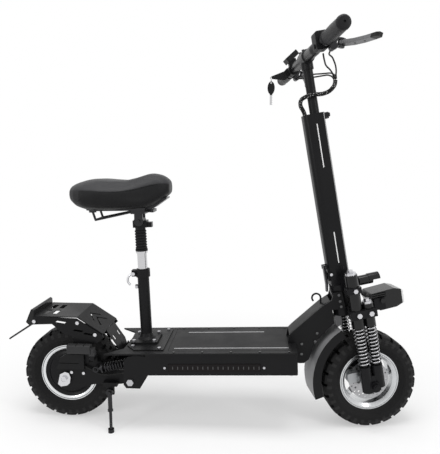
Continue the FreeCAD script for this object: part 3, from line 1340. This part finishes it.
node("latch_lever", *on_front(latch_lever()))
node("clamp_knob", *on_front(clamp_knob()))


# Handlebar, on its sliding post
GRIP_INNER = BAR_HALF_LENGTH - GRIP_LENGTH
PERCH_OUTER = GRIP_INNER - 3.0
PERCH_INNER = PERCH_OUTER - 15.0
RESERVOIR_INNER = PERCH_INNER - 2.0
POD_OUTER = PERCH_INNER - 3.0
POD_INNER = POD_OUTER - 32.0


def bar_rod(y0, y1, radius):
    return cross_rod(BAR_F, BAR_S, y0, y1, radius)


def bar_tube(side, near, far, outer):
    """A ring round the thin part of the bar on one side."""
    y0, y1 = sorted((side * near, side * far))
    return cross_tube(BAR_F, BAR_S, y0, y1, outer, THIN_BAR_RADIUS + RUNNING_GAP)


def handlebar():
    """The telescopic post with its head and the bar through it, thick in the middle."""
    profile = [(0, -BAR_HALF_LENGTH + 3), (THIN_BAR_RADIUS, -BAR_HALF_LENGTH + 3), (THIN_BAR_RADIUS, -118),
               (BAR_RADIUS, -92), (BAR_RADIUS, 92), (THIN_BAR_RADIUS, 118),
               (THIN_BAR_RADIUS, BAR_HALF_LENGTH - 3), (0, BAR_HALF_LENGTH - 3)]
    bar = turned(profile, V(BAR_F, 0, BAR_S), ALONG_Y)
    post = s_rod(BAR_F, 0, STEM_TOP_S - 110, BAR_S, POST_RADIUS)
    socket = s_rod(BAR_F, 0, BAR_S - 34, BAR_S - 6, POST_RADIUS + 3.5)
    head = bar_rod(-24, 24, BAR_RADIUS + 4)
    caps = [hex_bolt(V(BAR_F + f, y, BAR_S + 15), ALONG_Z, 4.5, 6) for f in (-9, 9) for y in (-15, 15)]
    return joined(bar, post, socket, head, *caps)


def grips():
    """A ribbed rubber grip on each end, closed by a cap."""
    pieces = []
    for side in (-1, 1):
        grip = bar_tube(side, GRIP_INNER, BAR_HALF_LENGTH - 2.7, GRIP_RADIUS - 1)
        bands = [bar_tube(side, GRIP_INNER + 2 + 7.2 * i, GRIP_INNER + 6.5 + 7.2 * i, GRIP_RADIUS)
                 for i in range(16)]
        y0, y1 = sorted((side * (BAR_HALF_LENGTH - 2.7), side * BAR_HALF_LENGTH))
        pieces.append(joined(grip, *bands, cross_rod(BAR_F, BAR_S, y0, y1, GRIP_RADIUS - 1)))
    return pieces


node("handlebar", *on_front(handlebar()))
node("grips", *on_front(*grips()))


def drooped(shape):
    """A part of a brake lever, turned forwards and down about the bar."""
    return rotated(shape, V(BAR_F, 0, BAR_S), ALONG_Y, LEVER_DROOP)


def brake_perch(side):
    """A brake lever's clamp on the bar, with the two ears that hold the lever."""
    clamp = bar_tube(side, PERCH_INNER, PERCH_OUTER, 16)
    y_mid = (PERCH_INNER + PERCH_OUTER) / 2
    y0, y1 = sorted((side * PERCH_INNER, side * PERCH_OUTER))
    neck = box(BAR_F + 13, PERCH_F - 8, y0, y1, BAR_S - 15, BAR_S - 4)
    low_ear = rod(V(PERCH_F, side * y_mid, LEVER_S - 10), V(PERCH_F, side * y_mid, LEVER_S - 5.3), 11)
    high_ear = rod(V(PERCH_F, side * y_mid, LEVER_S + 5.3), V(PERCH_F, side * y_mid, LEVER_S + 10), 11)
    web = box(PERCH_F - 22, PERCH_F - 12.5, y0, y1, LEVER_S - 10, LEVER_S + 10)
    links = [box(PERCH_F - 20, PERCH_F, y0, y1, LEVER_S - 10, LEVER_S - 5.3),
             box(PERCH_F - 20, PERCH_F, y0, y1, LEVER_S + 5.3, LEVER_S + 10)]
    reservoir = cross_rod(PERCH_F - 18, LEVER_S - 16, *sorted((side * RESERVOIR_INNER, side * PERCH_OUTER)), 8)
    perch = joined(clamp, neck, low_ear, high_ear, web, reservoir, *links)
    pin_room = rod(V(PERCH_F, side * y_mid, LEVER_S - 30), V(PERCH_F, side * y_mid, LEVER_S + 20),
                   LEVER_PIN + RUNNING_GAP)
    return drooped(perch.cut(pin_room))


def brake_lever(side):
    """A brake lever: a flat blade with two holes, a kinked root and its pivot pin."""
    y_mid = (PERCH_INNER + PERCH_OUTER) / 2
    line = [(0, -6), (-7, 2), (2, 16), (16, 40), (30, 74), (42, 112), (48, 119), (57, 116), (52, 96),
            (42, 60), (28, 26), (14, 4), (8, -6)]
    outline = [(PERCH_F + f, side * (y_mid + along)) for f, along in line]
    blade = flat_plate(outline, LEVER_S - 5, LEVER_S + 5)
    boss = rod(V(PERCH_F, side * y_mid, LEVER_S - 5), V(PERCH_F, side * y_mid, LEVER_S + 5), 9)
    pin = rod(V(PERCH_F, side * y_mid, LEVER_S - 12), V(PERCH_F, side * y_mid, LEVER_S + 12), LEVER_PIN)
    holes = [rod(V(PERCH_F + f, side * (y_mid + along), LEVER_S - 9),
                 V(PERCH_F + f, side * (y_mid + along), LEVER_S + 9), 3) for f, along in ((23, 38), (36, 68))]
    return drooped(joined(blade, boss).cut(Part.makeCompound(holes)).fuse(pin).removeSplitter())


PERCH_F = BAR_F + 40.0
LEVER_S = BAR_S + 2.0
node("brake_perches", *on_front(brake_perch(-1), brake_perch(1)))
node("brake_lever_near", *on_front(brake_lever(-1)))
node("brake_lever_far", *on_front(brake_lever(1)))


# Switch box on the near side, display and throttle pod on the far side
def control_pods():
    switch_ring = bar_tube(-1, POD_INNER, POD_OUTER, 18)
    switch_body = box(BAR_F - 22, BAR_F + 10, -POD_OUTER, -POD_INNER, BAR_S - 20, BAR_S + 26)
    switch_body = rounded(switch_body, 6, ALONG_Y)
    switch_body = switch_body.cut(bar_rod(-POD_OUTER - 1, -POD_INNER + 1, THIN_BAR_RADIUS + RUNNING_GAP))
    near_pod = joined(switch_ring, switch_body)
    near_pod = near_pod.cut(rod(HORN_SEAT, HORN_SEAT + V(12, 0, 0), 6.2))
    near_pod = near_pod.cut(box(LIGHT_F - 7.3, LIGHT_F + 7.3, -LIGHT_Y - 5.3, -LIGHT_Y + 5.3,
                                LIGHT_S - 8, LIGHT_S + 6))
    far_ring = bar_tube(1, POD_INNER, POD_INNER + 14, 17)
    tower = box(BAR_F - 12, BAR_F + 12, POD_INNER, POD_INNER + 14, BAR_S + 12, BAR_S + 34)
    face = rotated(rounded(box(BAR_F - 22, BAR_F + 22, POD_INNER - 12, POD_OUTER + 2, BAR_S + 32, BAR_S + 48),
                           5, ALONG_Z), V(BAR_F, 0, BAR_S + 40), ALONG_Y, -32)
    far_pod = joined(far_ring, tower, face)
    return [near_pod, far_pod]


HORN_SEAT = V(BAR_F - 22 - 1, -(POD_INNER + POD_OUTER) / 2, BAR_S - 8)
LIGHT_F = BAR_F - 6.0
LIGHT_Y = (POD_INNER + POD_OUTER) / 2
LIGHT_S = BAR_S + 22.0


def horn_button():
    """The horn's push button on the switch box's rider side."""
    return joined(rod(HORN_SEAT + V(-2.5, 0, 0), HORN_SEAT + V(9, 0, 0), 5.8))


def light_switch():
    """The lamp's rocker, on its pin in the top of the switch box."""
    rocker = side_plate([(LIGHT_F - 7, LIGHT_S + 6), (LIGHT_F, LIGHT_S + 5), (LIGHT_F + 7, LIGHT_S + 6),
                         (LIGHT_F + 4, LIGHT_S - 3), (LIGHT_F - 4, LIGHT_S - 3)], -LIGHT_Y - 5, -LIGHT_Y + 5)
    belly = cross_rod(LIGHT_F, LIGHT_S, -LIGHT_Y - 5, -LIGHT_Y + 5, 4.6)
    return joined(rocker, belly)


def throttle_paddle():
    """The thumb throttle: a ring on the bar with a pointed paddle towards the rider."""
    near = POD_INNER + 14 + SEAT_GAP
    ring = cross_tube(BAR_F, BAR_S, near, near + 9, 17, THIN_BAR_RADIUS + RUNNING_GAP)
    paddle = side_plate([(BAR_F - 12, BAR_S + 10), (BAR_F - 30, BAR_S + 2), (PADDLE_TIP_F, PADDLE_TIP_S + 3.5),
                         (PADDLE_TIP_F - 4, PADDLE_TIP_S), (PADDLE_TIP_F, PADDLE_TIP_S - 3.5),
                         (BAR_F - 30, BAR_S - 26), (BAR_F - 8, BAR_S - 12)], near + 2, near + 6)
    paddle = paddle.cut(bar_rod(near, near + 9, 15))
    hole = cross_rod(PADDLE_TIP_F, PADDLE_TIP_S, near, near + 9, 2.2)
    return joined(ring, paddle).cut(hole)


PADDLE_TIP_F = BAR_F - 72.0
PADDLE_TIP_S = BAR_S - 10.0
PADDLE_Y = POD_INNER + 14 + SEAT_GAP + 4
node("control_pods", *on_front(*control_pods()))
node("horn_button", *on_front(horn_button()))
node("light_switch", *on_front(light_switch()))
node("throttle_paddle", *on_front(throttle_paddle()))

# The spare key hangs straight down from the paddle's tip on its ring
KEY_HOLE = head_point(PADDLE_TIP_F, PADDLE_Y, PADDLE_TIP_S)


def key_on_ring():
    """The key's oval head and blade, hanging on a thin split ring."""
    top = KEY_HOLE
    ring_centre = top - V(0, 0, KEY_RING_RADIUS)
    ring = Part.makeTorus(KEY_RING_RADIUS, KEY_RING_WIRE, ring_centre, ALONG_X)
    head_top = ring_centre.z - KEY_RING_RADIUS + 4
    head = rod(V(0, -3.5, 0), V(0, 3.5, 0), 11.5)
    stretch = FreeCAD.Matrix()
    stretch.A33 = 1.75
    head = head.transformGeometry(stretch)
    head = shifted(head, V(top.x, top.y, head_top - 20))
    hole = rod(V(top.x, top.y - 5, head_top - 4), V(top.x, top.y + 5, head_top - 4), 2.6)
    blade = box(top.x - 4, top.x + 4, top.y - 1, top.y + 1, head_top - 73, head_top - 39)
    notches = [box(top.x + 2.4, top.x + 5, top.y - 2, top.y + 2, head_top - 70 + 7 * i, head_top - 67 + 7 * i)
               for i in range(4)]
    key = joined(head, blade).cut(hole).cut(Part.makeCompound(notches))
    return [ring, key]


node("key_on_ring", *key_on_ring())


# Control cables, held by the bar and the column all the way
def control_cables():
    """The brake and switch cables down to the wrapped loom, and the loom into the column."""
    gather = V(71, -38, 634)
    loom_route = [gather, V(68, -36, 620), V(52, -31, 606), V(30, -26, 603), V(10, -27, 606), V(-12, -18, 606),
                  V(-27, -4, 600), V(-28, 5, 584), V(-20, 7, 568), LOOM_END]
    near_brake = [V(BAR_F + 14, -RESERVOIR_INNER + SEAT_GAP, BAR_S - 22), V(BAR_F + 20, -130, BAR_S - 27),
                  V(46, -108, 684), V(62, -80, 668), V(71, -56, 656), V(74, -40, 646), gather + V(2.6, -2.4, 2.4)]
    far_brake = [V(BAR_F + 14, RESERVOIR_INNER - SEAT_GAP, BAR_S - 22), V(BAR_F + 21, 122, BAR_S - 28),
                 V(50, 84, 680), V(66, 44, 670), V(76, 4, 662), V(76, -26, 650), gather + V(2.6, 2.4, 2.4)]
    switch = [V(BAR_F + 4, -POD_INNER + 0.3 + 3, BAR_S - 24), V(BAR_F + 8, -POD_INNER + 14, BAR_S - 34),
              V(32, -88, 668), V(50, -66, 660), V(62, -48, 652), gather + V(-2.6, -2.4, 2.4)]
    pod = [V(BAR_F + 4, POD_INNER - 0.3 - 3, BAR_S - 24), V(BAR_F + 8, POD_INNER - 16, BAR_S - 34),
           V(34, 66, 668), V(54, 30, 662), V(64, -6, 656), V(66, -30, 646), gather + V(-2.6, 2.4, 2.4)]
    cables = [held_cable(loom_route, LOOM_RADIUS, "wrapped loom")]
    for route, label in ((near_brake, "near brake cable"), (far_brake, "far brake cable"),
                         (switch, "switch cable"), (pod, "display cable")):
        cables.append(held_cable(route, 2.2, label))
    return cables


node("control_cables", *on_front(*control_cables()))


# Origin at the middle of the whole outline, on the ground
whole = Part.makeCompound(list(nodes.values())).BoundBox
ORIGIN = V((whole.XMin + whole.XMax) / 2, (whole.YMin + whole.YMax) / 2, 0)
print("whole", round(whole.XLength, 1), round(whole.YLength, 1), round(whole.ZLength, 1), "origin", ORIGIN)

os.makedirs("parts", exist_ok=True)
for name, shape in nodes.items():
    if not shape.isValid():
        print("not valid:", name)
    shifted(shape, ORIGIN * -1).exportStep("parts/" + name + ".step")
print(len(nodes), "nodes")
